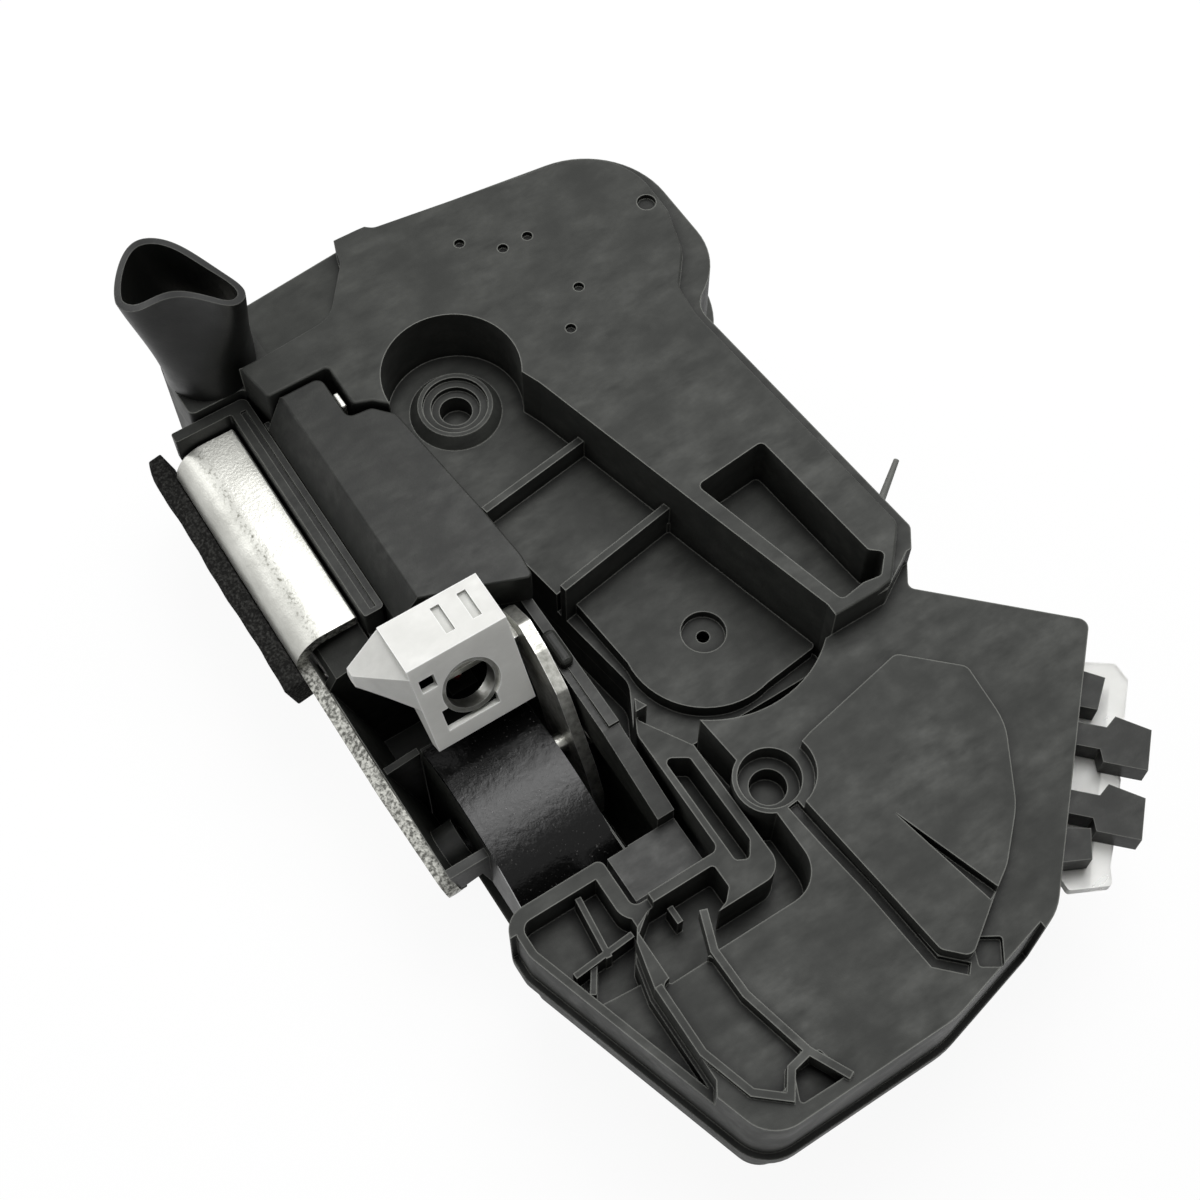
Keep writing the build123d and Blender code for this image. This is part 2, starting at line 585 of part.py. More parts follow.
with BuildPart() as latch_housing:
    with BuildSketch(depth(plate_thick)):
        Polygon((plate_left, latch_bottom), (tray_right, latch_bottom), (tray_right, tray_top),
                (plate_left, tray_top), align=None)
    extrude(amount=-(tray_depth - plate_thick))
    side = latch_bottom + 1
    extrude(across(-90,
        [(plate_y(side, 8), side), (latch_wall_y, side), (latch_wall_y, 30), (15.2, 30),
         (15.2, ledge_z), (10.6, ledge_z), (plate_y(8, 10), 8)]),
        amount=54)
    extrude(across(tray_right,
        [(plate_y(side, plate_thick), side), (latch_wall_y, side), (latch_wall_y, 30),
         (latch_wall_y - wall, 30), (latch_wall_y - wall, deck_z),
         (plate_y(deck_z, plate_thick), deck_z)]),
        amount=latch_end_x - tray_right)
    extrude(across(latch_end_x,
        [(25, side), (latch_wall_y, side), (latch_wall_y, box_top), (25, box_top)]),
        amount=10)
    # thick crowned wall beside the release lever
    with BuildSketch(Plane.XZ.offset(-latch_wall_y)):
        add(sharp([(-18, 18), (-18, wall_crown), (5, wall_crown - 1), (latch_end_x, 25),
                   (latch_end_x, 18)]))
    extrude(amount=latch_wall_y - lever_wall_y)
    with BuildSketch(Plane.XZ.offset(-latch_wall_y - 1)):
        add(sharp([(5, wall_crown + 1), (5, wall_crown - 1), (latch_end_x, 25),
                   (latch_end_x + 0.1, box_top), (36, box_top), (36, wall_crown + 1)]))
    extrude(amount=7, mode=Mode.SUBTRACT)
    # crowned seat of the saddle
    with BuildSketch(Plane.XZ.offset(-saddle_y[1])):
        with Locations((saddle_center_x, saddle_top - saddle_radius)):
            Circle(saddle_radius - saddle_thick)
        with Locations(((saddle_left + saddle_right) / 2, 0)):
            Rectangle(saddle_right - saddle_left, 2 * saddle_top + 4, mode=Mode.INTERSECT)
    extrude(amount=saddle_y[1] - saddle_y[0])
    with BuildSketch(Plane.XZ.offset(-saddle_y[1])):
        with Locations(((saddle_left + saddle_right) / 2, saddle_top)):
            Rectangle(saddle_right - saddle_left, 2 * saddle_top)
        with Locations((saddle_center_x, saddle_top - saddle_radius)):
            Circle(saddle_radius - saddle_thick, mode=Mode.SUBTRACT)
    extrude(amount=saddle_y[1] - saddle_y[0], mode=Mode.SUBTRACT)
    # plan of the housing beside the casing
    with BuildSketch(level(latch_bottom - 5)):
        Polygon((-98, -15), (-98, 14.5), (-92, 16.2), (-88, 16.4), (-88, 28.5), (-77, 28.5),
                (-76.5, 33.5), (-72.5, 37), (-62, 39.4), (-50, latch_wall_y), (35, latch_wall_y),
                (35, front_y), (10, front_y), (10, -15), align=None)
    extrude(amount=60, mode=Mode.INTERSECT)
    # right end of the plate edge recedes with the plate
    with BuildSketch(depth(-2)):
        Polygon((5, -24), (-10, -24), (5, -4), (12, 12), (8, 22), (40, 22), (40, -24), align=None)
    extrude(amount=-(plate_thick + 7), mode=Mode.SUBTRACT)
    # clear of the bend of the flange
    extrude(across(plate_left - 1,
        [(-5, 16.8), (plate_y(16.8, plate_thick), 16.8), (1.5, 21.5), (-5, 21.5)]),
        amount=70, mode=Mode.SUBTRACT)
    # pocket for the fork and the pawl
    with BuildSketch(depth(plate_thick)):
        Polygon((plate_left + 2, latch_bottom + 2), (tray_right - 2, latch_bottom + 2),
                (tray_right - 2, tray_top - 1.2), (plate_left + 2, tray_top - 1.2), align=None)
        add(disc(screw_left, 4.2), mode=Mode.SUBTRACT)
    extrude(amount=-(pocket_back - plate_thick), mode=Mode.SUBTRACT)
    with BuildSketch(depth(plate_thick - 1)):
        add(disc(screw_left, 3.3))
        add(disc(screw_low, 3.3))
        add(disc((0, 0), 3.3))
        add(mouth_area(0.5))
    extrude(amount=-(tray_depth - 4), mode=Mode.SUBTRACT)
    with BuildSketch(depth(plate_thick)):
        add(mouth_area(0.5))
    extrude(amount=-(tray_depth - plate_thick), mode=Mode.SUBTRACT)
    # chamber of the release lever behind the tray
    for start, end, far_y in ((-86, -73, 26.5), (-74, -60, 35), (-61, tray_right, latch_wall_y - wall)):
        extrude(across(start,
            [(plate_y(side, tray_depth + 1), side + wall), (chamber_y, -8), (chamber_y, 31),
             (far_y, 31), (far_y, side + wall)]),
            amount=end - start, mode=Mode.SUBTRACT)
    extrude(across(tray_right - 1,
        [(chamber_y, side + wall), (chamber_y, 31), (latch_wall_y - wall, 31),
         (latch_wall_y - wall, side + wall)]),
        amount=saddle_left - 1 - tray_right, mode=Mode.SUBTRACT)
    extrude(across(tray_right,
        [(front_y - 1, side + wall), (front_y - 1, 31), (latch_wall_y - wall, 31),
         (latch_wall_y - wall, side + wall)]),
        amount=saddle_left - 1 - tray_right, mode=Mode.SUBTRACT)
    with BuildSketch(Plane.XZ.offset(-latch_wall_y + 1)):
        with Locations(release_pivot):
            Circle(axle_radius)
    extrude(amount=latch_wall_y - saddle_y[1] + 1, mode=Mode.SUBTRACT)
    extrude(across(saddle_left - 3,
        [(saddle_y[1] + 0.4, side + wall), (saddle_y[1] + 0.4, 31), (lever_wall_y, 31),
         (lever_wall_y, 18), (latch_wall_y - wall, 18), (latch_wall_y - wall, side + wall)]),
        amount=latch_end_x - saddle_left + 2, mode=Mode.SUBTRACT)
    extrude(across(saddle_left + wall,
        [(front_y + wall, side + wall), (front_y + wall, 9), (saddle_y[1] - wall, 9),
         (saddle_y[1] - wall, side + wall)]),
        amount=34, mode=Mode.SUBTRACT)
    extrude(across(latch_end_x,
        [(27, side + wall), (27, box_top - wall), (latch_wall_y - wall, box_top - wall),
         (latch_wall_y - wall, side + wall)]),
        amount=8, mode=Mode.SUBTRACT)
    # deep gap between the plate and the saddle
    extrude(across(tray_right,
        [(plate_y(side, plate_thick), side + wall), (front_y, side + wall), (front_y, 31),
         (plate_y(31, plate_thick), 31)]),
        amount=44, mode=Mode.SUBTRACT)
    extrude(across(-18,
        [(plate_y(side, plate_thick), side), (front_y, side), (front_y, 13),
         (plate_y(12, plate_thick), 12)]),
        amount=1.5)
    with BuildSketch(depth(plate_thick)):
        add(disc((0, 0), 5.5))
    extrude(amount=-5)
    with BuildSketch(depth(plate_thick - 1)):
        add(disc((0, 0), 3.3))
    extrude(amount=-11, mode=Mode.SUBTRACT)
latch_housing.part.label = "latch_housing"
export_step(latch_housing.part, "parts/latch_housing.step")

# ---------------------------------------------------------------- latch lid and frame
lid_area = area(
    [(-88, 15.2), (-88, 28.5), (-76.5, 28.5), (-76, 33.5), (-72, 37), (-44, 40), (-31, 41),
     (-25.5, 40.5), (-28.5, 33), (-31, 26), (-35, 15.2)],
    [0.3, 2, 1.5, 2, 3, 3, 3, 1, 1, 1, 0.3])
with BuildPart() as latch_lid:
    with BuildSketch(level(30)):
        add(lid_area)
    extrude(amount=lid_top - 30)
    extrude(across(-90,
        [(15, 30), (19.4, lid_top), (19.4, lid_top + 1), (10, lid_top + 1), (10, 30)]),
        amount=60, mode=Mode.SUBTRACT)
    fillet(latch_lid.faces().sort_by(Axis.Z)[-1].edges(), radius=0.5)
    extrude(across(-74,
        [(17.4, 29), (17.4, 32), (20.4, lid_top - 2), (35, lid_top - 2), (35, 29)]),
        amount=36, mode=Mode.SUBTRACT)
    extrude(across(-86,
        [(17.4, 29), (17.4, 32), (20.4, lid_top - 2), (26.5, lid_top - 2), (26.5, 29)]),
        amount=13, mode=Mode.SUBTRACT)
latch_lid.part.label = "latch_lid"
export_step(latch_lid.part, "parts/latch_lid.step")

with BuildPart() as seal_frame:
    with BuildSketch(level(ledge_z)):
        add(area([(-98, -2), (-98, 15), (-40, 15), (-40, 10.6), (-95.6, 10.6), (-95.6, -2)],
                 [0.5, 1.5, 1, 0.5, 0.5, 0.5]))
    extrude(amount=30 - ledge_z)
    with BuildSketch(level(30)):
        with Locations((-68, 13)):
            Rectangle(54, 1.2)
    extrude(amount=-0.6, mode=Mode.SUBTRACT)
seal_frame.part.label = "seal_frame"
export_step(seal_frame.part, "parts/seal_frame.step")

with BuildPart() as foam_seal:
    with BuildSketch(depth(0)):
        Polygon((-102, 12.5), (-39.5, 12.5), (-39.5, 20.5), (-102, 20.5), align=None)
    extrude(amount=4.4)
foam_seal.part.label = "foam_seal"
export_step(foam_seal.part, "parts/foam_seal.step")

with BuildPart() as steel_saddle:
    with BuildSketch(Plane.XZ.offset(-saddle_y[1])):
        with Locations((saddle_center_x, saddle_top - saddle_radius)):
            Circle(saddle_radius)
            Circle(saddle_radius - saddle_thick, mode=Mode.SUBTRACT)
        with Locations(((saddle_left + saddle_right) / 2, saddle_top)):
            Rectangle(saddle_right - saddle_left, 2 * saddle_top, mode=Mode.INTERSECT)
    extrude(amount=saddle_y[1] - saddle_y[0])
steel_saddle.part.label = "steel_saddle"
export_step(steel_saddle.part, "parts/steel_saddle.step")

# ---------------------------------------------------------------- fork and pawl
fork_d = plate_thick + mech_gap
back_d = fork_d + fork_thick + mech_gap

with BuildSketch() as fork_closed:
    Circle(fork_reach)
    Polygon((-3, 0), (14, -26), (24, -30), (30, 0), (30, 30), (-3, 30), align=None,
            mode=Mode.INTERSECT)
    with Locations((22, 0)):
        SlotOverall(27, 12, mode=Mode.SUBTRACT)
    Circle(fork_hub)
    Circle(pivot_r + run_gap, mode=Mode.SUBTRACT)
fork_flat = fork_closed.sketch.rotate(Axis.Z, fork_closed_angle + fork_open)

with BuildPart() as forkbolt:
    with BuildSketch(depth(fork_d)):
        with Locations(fork_pivot):
            add(fork_flat)
    extrude(amount=-fork_thick)
forkbolt.part.label = "forkbolt"
export_step(forkbolt.part, "parts/forkbolt.step")

pawl_nose = (-60.0, 13.4)
with BuildPart() as pawl:
    with BuildSketch(depth(fork_d)):
        with Locations(pawl_pivot):
            Circle(pawl_hub)
        with Locations(pawl_nose):
            Circle(2)
        make_hull()
        with Locations(pawl_pivot):
            Circle(pivot_r + run_gap, mode=Mode.SUBTRACT)
    extrude(amount=-fork_thick)
pawl.part.label = "pawl"
export_step(pawl.part, "parts/pawl.step")

with BuildPart() as back_plate:
    with BuildSketch(depth(back_d)):
        Polygon((-85.5, -18), (-38.5, -18), (-38.5, 16), (-85.5, 16), align=None)
        for center in (fork_pivot, pawl_pivot):
            add(disc(center, pivot_r), mode=Mode.SUBTRACT)
        add(mouth_area(0), mode=Mode.SUBTRACT)
    extrude(amount=-back_plate_thick)
back_plate.part.label = "back_plate"
export_step(back_plate.part, "parts/back_plate.step")

for name, center in (("fork_pivot_pin", fork_pivot), ("pawl_pivot_pin", pawl_pivot)):
    with BuildPart() as pin:
        with BuildSketch(depth(-0.8)):
            add(disc(center, pivot_r + 1.2))
        extrude(amount=-0.8)
        with BuildSketch(depth(0)):
            add(disc(center, pivot_r - 0.6))
        extrude(amount=-plate_thick)
        with BuildSketch(depth(plate_thick)):
            add(disc(center, pivot_r))
        extrude(amount=-(pocket_back - plate_thick))
    pin.part.label = name
    export_step(pin.part, f"parts/{name}.step")

with BuildPart() as mouth_bumper:
    with BuildSketch(depth(back_d + back_plate_thick)):
        with Locations((mouth_x, mouth_end + 4)):
            Rectangle(14, 5)
    extrude(amount=-(pocket_back - back_d - back_plate_thick))
mouth_bumper.part.label = "mouth_bumper"
export_step(mouth_bumper.part, "parts/mouth_bumper.step")

# ---------------------------------------------------------------- release lever, clip
lever_outline = [
    (-27.5, 29), (-25, 33.5), (-19, 37), (-13, 35), (-6, 30), (4, 12), (7, 4), (7, -6),
    (2, -8), (-3, 0), (-10, 6), (-14, 17), (-20, 25), (-27.5, 27),
]
lever_tab = (-22.5, 31.0)   # middle of the tab that carries the rod clip
tab_size = (6.0, 2.0)
tab_length = 18.0
with BuildPart() as release_lever:
    with BuildSketch(Plane.XZ.offset(-release_y)):
        add(area(lever_outline, 1.2))
        add(disc(release_pivot, axle_radius + run_gap), mode=Mode.SUBTRACT)
    extrude(amount=-release_thick)
    with BuildSketch(Plane.XZ.offset(-release_y)):
        with Locations(lever_tab):
            Rectangle(*tab_size)
    extrude(amount=tab_length)
release_lever.part.label = "release_lever"
export_step(release_lever.part, "parts/release_lever.step")

with BuildPart() as release_pivot_pin:
    with BuildSketch(Plane.XZ.offset(-saddle_y[1] + 2)):
        with Locations(release_pivot):
            Circle(axle_radius)
    extrude(amount=-(latch_wall_y - wall - saddle_y[1] + 2 + 1))
release_pivot_pin.part.label = "release_pivot_pin"
export_step(release_pivot_pin.part, "parts/release_pivot_pin.step")

# The clip is an open moulding: a top plate, a leaning front and two side walls.
clip_y = (9.3, 30.8)
clip_wall = 1.6
clip_top = 42.0
clip_back = -30.7
clip_front = -19.6          # upper edge of the leaning front
clip_foot = (-10.2, 24.0)   # lower edge of the leaning front
clip_ring_r = 6.1
front_run = Vector(clip_foot[0] - clip_front, 0, clip_foot[1] - clip_top)
clip_face = Plane(origin=(clip_front, clip_y[0], clip_top), x_dir=(0, 1, 0),
                  z_dir=Vector(0, 1, 0).cross(front_run) * -1)
ring_place = (10.6, -10.2)  # ring centre on the leaning front, from its upper left corner
clip_side = [
    (clip_back + 2.4, clip_top - 0.4), (clip_front, clip_top), clip_foot, (-13, 22.4), (-19.4, 28.2),
    (clip_back + 2.4, 29.4),
]
nose_root = [(clip_back, clip_top - 0.6), (clip_front + 1, clip_top - 1.6), (-15.5, 33), (-19, 28.5),
             (-29, 29), (clip_back, 31)]
nose_tip = [(-29.6, 35.4), (-27.6, 35.4), (-26.4, 33.4), (-27, 31.8), (-29, 31.2), (-30, 32)]
with BuildPart() as rod_clip:
    with BuildSketch(level(clip_top - clip_wall)):
        with Locations(((clip_back + clip_front) / 2, (clip_y[0] + clip_y[1]) / 2)):
            Rectangle(clip_front - clip_back, clip_y[1] - clip_y[0])
    extrude(amount=clip_wall)
    for y in (clip_y[0], clip_y[1] - clip_wall):
        with BuildSketch(Plane.XZ.offset(-y)):
            Polygon(*clip_side, align=None)
        extrude(amount=-clip_wall)
    with BuildSketch(clip_face):
        Rectangle(clip_y[1] - clip_y[0], front_run.length, align=(Align.MIN, Align.MAX))
    extrude(amount=-clip_wall)
    # nose on the side of the plate
    with BuildSketch(Plane.XZ.offset(-clip_y[0])):
        Polygon(*nose_root, align=None)
    with BuildSketch(Plane.XZ.offset(-clip_y[0] + 7.8)):
        Polygon(*nose_tip, align=None)
    loft()
    # slots of the top, window and ring seat of the front
    with BuildSketch(level(clip_top)):
        with Locations((-25.7, 20.6), (-25.7, 26.4)):
            Rectangle(6.2, 1.9)
    extrude(amount=-0.9, mode=Mode.SUBTRACT)
    with BuildSketch(clip_face.offset(1)):
        with Locations(ring_place):
            Circle(clip_ring_r)
        with Locations((ring_place[0] - 1.6, ring_place[1] - 4.4)):
            Rectangle(11.2, 5)
        with Locations((ring_place[0] - 7.6, ring_place[1] + 5.4)):
            Rectangle(3.2, 3)
    extrude(amount=-6, mode=Mode.SUBTRACT)
    with BuildSketch(Plane.XZ.offset(-clip_y[1] - 1)):
        with Locations(lever_tab):
            Rectangle(*tab_size)
    extrude(amount=clip_wall + 2, mode=Mode.SUBTRACT)
rod_clip.part.label = "rod_clip"
export_step(rod_clip.part, "parts/rod_clip.step")

with BuildPart() as clip_ring:
    with BuildSketch(clip_face.offset(-0.6)):
        with Locations(ring_place):
            Circle(clip_ring_r)
            Circle(clip_ring_r - 1, mode=Mode.SUBTRACT)
    extrude(amount=-3.4)
clip_ring.part.label = "clip_ring"
export_step(clip_ring.part, "parts/clip_ring.step")

# ---------------------------------------------------------------- drive in the casing
with BuildPart() as lock_motor:
    with BuildSketch(Plane.YZ.offset(motor_left)):
        with Locations((motor_axis_y, motor_axis_z)):
            Circle(motor_radius)
            Rectangle(2 * motor_flat + 2, 2 * motor_radius, mode=Mode.INTERSECT)
    extrude(amount=motor_length)
    with BuildSketch(Plane.YZ.offset(motor_left + motor_length)):
        with Locations((motor_axis_y, motor_axis_z)):
            Circle(3.2)
    extrude(amount=1.5)
    with BuildSketch(Plane.YZ.offset(motor_left + motor_length + 2)):
        with Locations((motor_axis_y, motor_axis_z)):
            Circle(1 + run_gap)
    extrude(amount=-12, mode=Mode.SUBTRACT)
lock_motor.part.label = "lock_motor"
export_step(lock_motor.part, "parts/lock_motor.step")

with BuildPart() as motor_worm:
    with BuildSketch(Plane.YZ.offset(motor_left + motor_length - 9)):
        with Locations((motor_axis_y, motor_axis_z)):
            Circle(1)
    extrude(amount=11)
    with BuildSketch(Plane.YZ.offset(worm_x - 12.5)):
        with Locations((motor_axis_y, motor_axis_z)):
            Circle(worm_radius - 1)
    extrude(amount=24)
    for step in range(9):
        with BuildSketch(Plane.YZ.offset(worm_x - 12 + 2.4 * step)):
            with Locations((motor_axis_y, motor_axis_z)):
                Circle(worm_radius)
        extrude(amount=1.2)
motor_worm.part.label = "motor_worm"
export_step(motor_worm.part, "parts/motor_worm.step")

pinion_z = wheel_bottom + wheel_thick
with BuildPart() as worm_wheel:
    with BuildSketch(level(wheel_bottom)):
        with Locations(wheel_center):
            Circle(wheel_radius - 1.2)
            with PolarLocations(wheel_radius - 1, 24):
                Rectangle(2, 1.9)
            Circle(axle_radius + run_gap, mode=Mode.SUBTRACT)
    extrude(amount=wheel_thick)
    with BuildSketch(level(pinion_z)):
        with Locations(wheel_center):
            Circle(pinion_radius - 1)
            with PolarLocations(pinion_radius - 0.9, 8):
                Rectangle(1.8, 1.4)
            Circle(axle_radius + run_gap, mode=Mode.SUBTRACT)
    extrude(amount=4)
worm_wheel.part.label = "worm_wheel"
export_step(worm_wheel.part, "parts/worm_wheel.step")

with BuildPart() as lock_lever:
    with BuildSketch(level(pinion_z + 0.4)):
        with Locations(lever_center):
            Circle(sector_radius - seat_gap)
            Polygon((3, 0), (-30, 12), (-30, -12), align=None, mode=Mode.INTERSECT)
            Circle(6)
            Polygon((-4, 0), (4, 0), (3, -22), (-3, -22), align=None)
            Circle(axle_radius + run_gap, mode=Mode.SUBTRACT)
    extrude(amount=3)
lock_lever.part.label = "lock_lever"
export_step(lock_lever.part, "parts/lock_lever.step")

for name, center in (("wheel_axle", wheel_center), ("lever_axle", lever_center)):
    with BuildPart() as axle:
        with BuildSketch(level(case_bottom + 1)):
            add(disc(center, axle_radius))
        extrude(amount=part_line - case_bottom - 1)
    axle.part.label = name
    export_step(axle.part, f"parts/{name}.step")

with BuildPart() as housing_gasket:
    with BuildSketch(level(part_line - gasket_height)):
        add(gasket_area)
    extrude(amount=gasket_height)
housing_gasket.part.label = "housing_gasket"
export_step(housing_gasket.part, "parts/housing_gasket.step")

# ---------------------------------------------------------------- connector and switches
socket_y = (94.3, 106.0)
with BuildPart() as connector_socket:
    with BuildSketch(Plane.XZ.offset(-socket_y[0])):
        with Locations((socket_x, socket_z)):
            RectangleRounded(socket_width - 0.2, socket_height - 0.2, 1.5)
    extrude(amount=-(socket_y[1] - socket_y[0]))
    with BuildSketch(Plane.XZ.offset(-socket_y[0] - 2)):
        with Locations((socket_x, socket_z)):
            RectangleRounded(socket_width - 3.4, socket_height - 3.4, 1)
    extrude(amount=-(socket_y[1] - socket_y[0]), mode=Mode.SUBTRACT)
connector_socket.part.label = "connector_socket"
export_step(connector_socket.part, "parts/connector_socket.step")

with BuildPart() as terminal_pins:
    with BuildSketch(Plane.XZ.offset(-socket_y[0] - 2)):
        with Locations((socket_x, socket_z)):
            with GridLocations(3.5, 4, 6, 2):
                Rectangle(0.8, 0.8)
    extrude(amount=-7)
terminal_pins.part.label = "terminal_pins"
export_step(terminal_pins.part, "parts/terminal_pins.step")

with BuildPart() as lead_frame:
    with BuildSketch(level(case_bottom + wall)):
        with BuildLine():
            Polyline((-74, 82), (socket_x, 82), (socket_x, socket_y[0] - 1))
        trace(line_width=6)
    extrude(amount=0.8)
lead_frame.part.label = "lead_frame"
export_step(lead_frame.part, "parts/lead_frame.step")

switch_size = (12.8, 6.4, 6.5)
for name, x, y, z in (
    ("ajar_switch", -41, 27, latch_bottom + 1 + wall), ("lock_switch", -20, 58, case_bottom + wall),
):
    with BuildPart() as switch:
        with Locations((x, y, z)):
            Box(*switch_size, align=(Align.CENTER, Align.CENTER, Align.MIN))
        with Locations((x + 3, y, z + switch_size[2])):
            Hole(1 + run_gap, 3)
    switch.part.label = name
    export_step(switch.part, f"parts/{name}.step")
    with BuildPart() as plunger:
        with Locations((x + 3, y, z + switch_size[2] - 1.5)):
            Cylinder(1, 3, align=(Align.CENTER, Align.CENTER, Align.MIN))
    plunger.part.label = f"{name}_plunger"
    export_step(plunger.part, f"parts/{name}_plunger.step")

# ---------------------------------------------------------------- key entry
funnel_base_r = 9.6
funnel_wall = 1.5
funnel_rim = [
    (-112.5, -1.2), (-118.2, 2.5), (-120.8, 8), (-118.5, 13), (-112, 17.2), (-104.5, 20.2),
    (-98.6, 21), (-97, 18.2), (-100, 13.8), (-104, 9.4), (-106.6, 4.2), (-109, 0),
]
funnel_levels = ((arm_top, 0), (arm_top + 10, 0.2), (arm_top + 21, 0.72), (arm_top + 31, 1))


def funnel_area(part_way, shrink):
    """Section of the scoop, from its round base to its curved rim."""
    points = []
    for index, (x, y) in enumerate(funnel_rim):
        turn = radians(-105 - 360 * index / len(funnel_rim))
        base_x = key_axis[0] + funnel_base_r * cos(turn)
        base_y = key_axis[1] + funnel_base_r * sin(turn)
        points.append((base_x + part_way * (x - base_x), base_y + part_way * (y - base_y)))
    with BuildSketch() as made:
        with BuildLine():
            Spline(*points, periodic=True)
        make_face()
        if shrink:
            offset(amount=-shrink)
    return made.sketch


with BuildPart() as key_funnel:
    for shrink in (0, funnel_wall):
        for z, part_way in funnel_levels:
            with BuildSketch(level(z)):
                add(funnel_area(part_way, shrink))
        loft(mode=Mode.SUBTRACT if shrink else Mode.ADD)
    # wavy rim, lower towards the plate
    with BuildSketch(Plane.YZ.offset(arm_left - 10)):
        with BuildLine():
            Spline((-6, arm_top + 25), (1, arm_top + 26), (9, arm_top + 29), (15, arm_top + 28.6),
                   (24, arm_top + 25))
            Polyline((24, arm_top + 25), (24, arm_top + 40), (-6, arm_top + 40), (-6, arm_top + 25))
        make_face()
    extrude(amount=60, mode=Mode.SUBTRACT)
key_funnel.part.label = "key_funnel"
export_step(key_funnel.part, "parts/key_funnel.step")

with BuildPart() as key_coupling:
    with Locations((*key_axis, arm_top - 8)):
        Cylinder(key_radius, 14, align=(Align.CENTER, Align.CENTER, Align.MIN))
    with Locations((*key_axis, arm_top + 6)):
        Box(7.5, 1.8, 8, mode=Mode.SUBTRACT)
    with Locations((*key_axis, arm_top - 10.5)):
        Cylinder(key_radius + 0.8, 2.5, align=(Align.CENTER, Align.CENTER, Align.MIN))
key_coupling.part.label = "key_coupling"
export_step(key_coupling.part, "parts/key_coupling.step")

# ---------------------------------------------------------------- snap hooks and link
def beside_edge(z):
    """Plane at the wing edge: x along it, y outwards."""
    peak = Vector(*wing_peak, z)
    edge = (Vector(*wing_corner, z) - peak).normalized()
    return Plane(origin=peak + edge * hook_reach, x_dir=edge, z_dir=(0, 0, 1))

with BuildPart() as snap_hooks:
    with BuildSketch(beside_edge(hook_bottom)):
        for shift in (-4.9, 9.3):
            with Locations((shift, 0)):
                Polygon((-2.4, 0), (-2.4, 6.4), (-5, 7.8), (-3.6, 14.8), (4.9, 14.8), (4.9, 6.4),
                        (2.4, 5.6), (2.4, 0), align=None)
        Polygon((-18.4, 0), (-17.7, 5.2), (-10.6, 4.4), (-10.6, 0), align=None)
        Polygon((14.8, 0), (13.8, 5.4), (19.8, 6.2), (21.9, 0), align=None)
    extrude(amount=hook_top - hook_bottom)
    with BuildSketch(beside_edge(hook_bottom - 0.6 - link_thick)):
        Polygon((-19, 0), (-19, 7.5), (22, 7.5), (22, 0), align=None)
    extrude(amount=-2.4)
    with BuildSketch(beside_edge(hook_top)):
        Polygon((-19, 0), (-19, 1), (22, 1), (22, 0), align=None)
    extrude(amount=hook_bottom - 3 - link_thick - hook_top)
snap_hooks.part.label = "snap_hooks"
export_step(snap_hooks.part, "parts/snap_hooks.step")

with BuildPart() as inside_release_link:
    with BuildSketch(beside_edge(hook_bottom - 0.3 - link_thick)):
        add(area([(-23, 1.3), (-24, 7.8), (-21, 10.6), (-12.7, 10.6), (-10, 8), (-2, 8), (0, 11),
                  (10.6, 11), (18.4, 10.6), (22, 11.3), (24.7, 3.5), (22, 1.3)], 0.8))
    extrude(amount=link_thick)
inside_release_link.part.label = "inside_release_link"
export_step(inside_release_link.part, "parts/inside_release_link.step")

# ---------------------------------------------------------------- springs
for name, center in (("fork_spring", fork_pivot), ("pawl_spring", pawl_pivot)):
    start = depth(pocket_back - 1.7)
    with BuildPart() as spring:
        with BuildLine():
            coil = Helix(1.1, 1.1, 4.4, center=start.from_local_coords((*center, 0)),
                         direction=-start.z_dir)
        with BuildSketch(Plane(origin=coil @ 0, z_dir=coil % 0)):
            Circle(0.4)
        sweep()
    spring.part.label = name
    export_step(spring.part, f"parts/{name}.step")
with BuildPart() as release_spring:
    with BuildLine():
        coil = Helix(0.9, 1.1, 3.4, center=(release_pivot[0], release_y + release_thick + 0.55,
                                        release_pivot[1]), direction=(0, 1, 0))
    with BuildSketch(Plane(origin=coil @ 0, z_dir=coil % 0)):
        Circle(0.4)
    sweep()
release_spring.part.label = "release_spring"
export_step(release_spring.part, "parts/release_spring.step")
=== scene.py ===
import bmesh
import bpy
import json
import math
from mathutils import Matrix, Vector


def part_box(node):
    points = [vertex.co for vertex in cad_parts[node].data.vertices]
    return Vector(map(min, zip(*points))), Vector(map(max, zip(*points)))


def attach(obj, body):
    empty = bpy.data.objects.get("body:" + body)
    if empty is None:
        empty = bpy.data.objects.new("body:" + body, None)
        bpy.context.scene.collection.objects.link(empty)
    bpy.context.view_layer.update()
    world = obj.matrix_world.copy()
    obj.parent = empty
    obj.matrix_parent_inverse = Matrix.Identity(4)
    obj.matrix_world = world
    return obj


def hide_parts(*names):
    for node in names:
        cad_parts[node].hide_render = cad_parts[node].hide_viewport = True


# Car door latch with its lock actuator casing. The scene is in metres, in the frame of the CAD
# model: the middle screw hole of the latch plate is the origin, +X runs along the plate, +Y goes
# inboard and +Z comes out of the broad face of the casing. Lengths are written in millimetres, and
# MM turns them into metres.

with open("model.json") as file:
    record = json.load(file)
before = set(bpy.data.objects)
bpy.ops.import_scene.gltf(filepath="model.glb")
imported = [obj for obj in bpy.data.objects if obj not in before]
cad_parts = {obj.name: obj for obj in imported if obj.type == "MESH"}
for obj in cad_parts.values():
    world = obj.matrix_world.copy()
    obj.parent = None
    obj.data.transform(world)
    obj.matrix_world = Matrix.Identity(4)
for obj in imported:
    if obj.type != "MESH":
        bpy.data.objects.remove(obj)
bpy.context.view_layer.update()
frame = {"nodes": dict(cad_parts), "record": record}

MM = 0.001
WHITE = (1, 1, 1, 1)

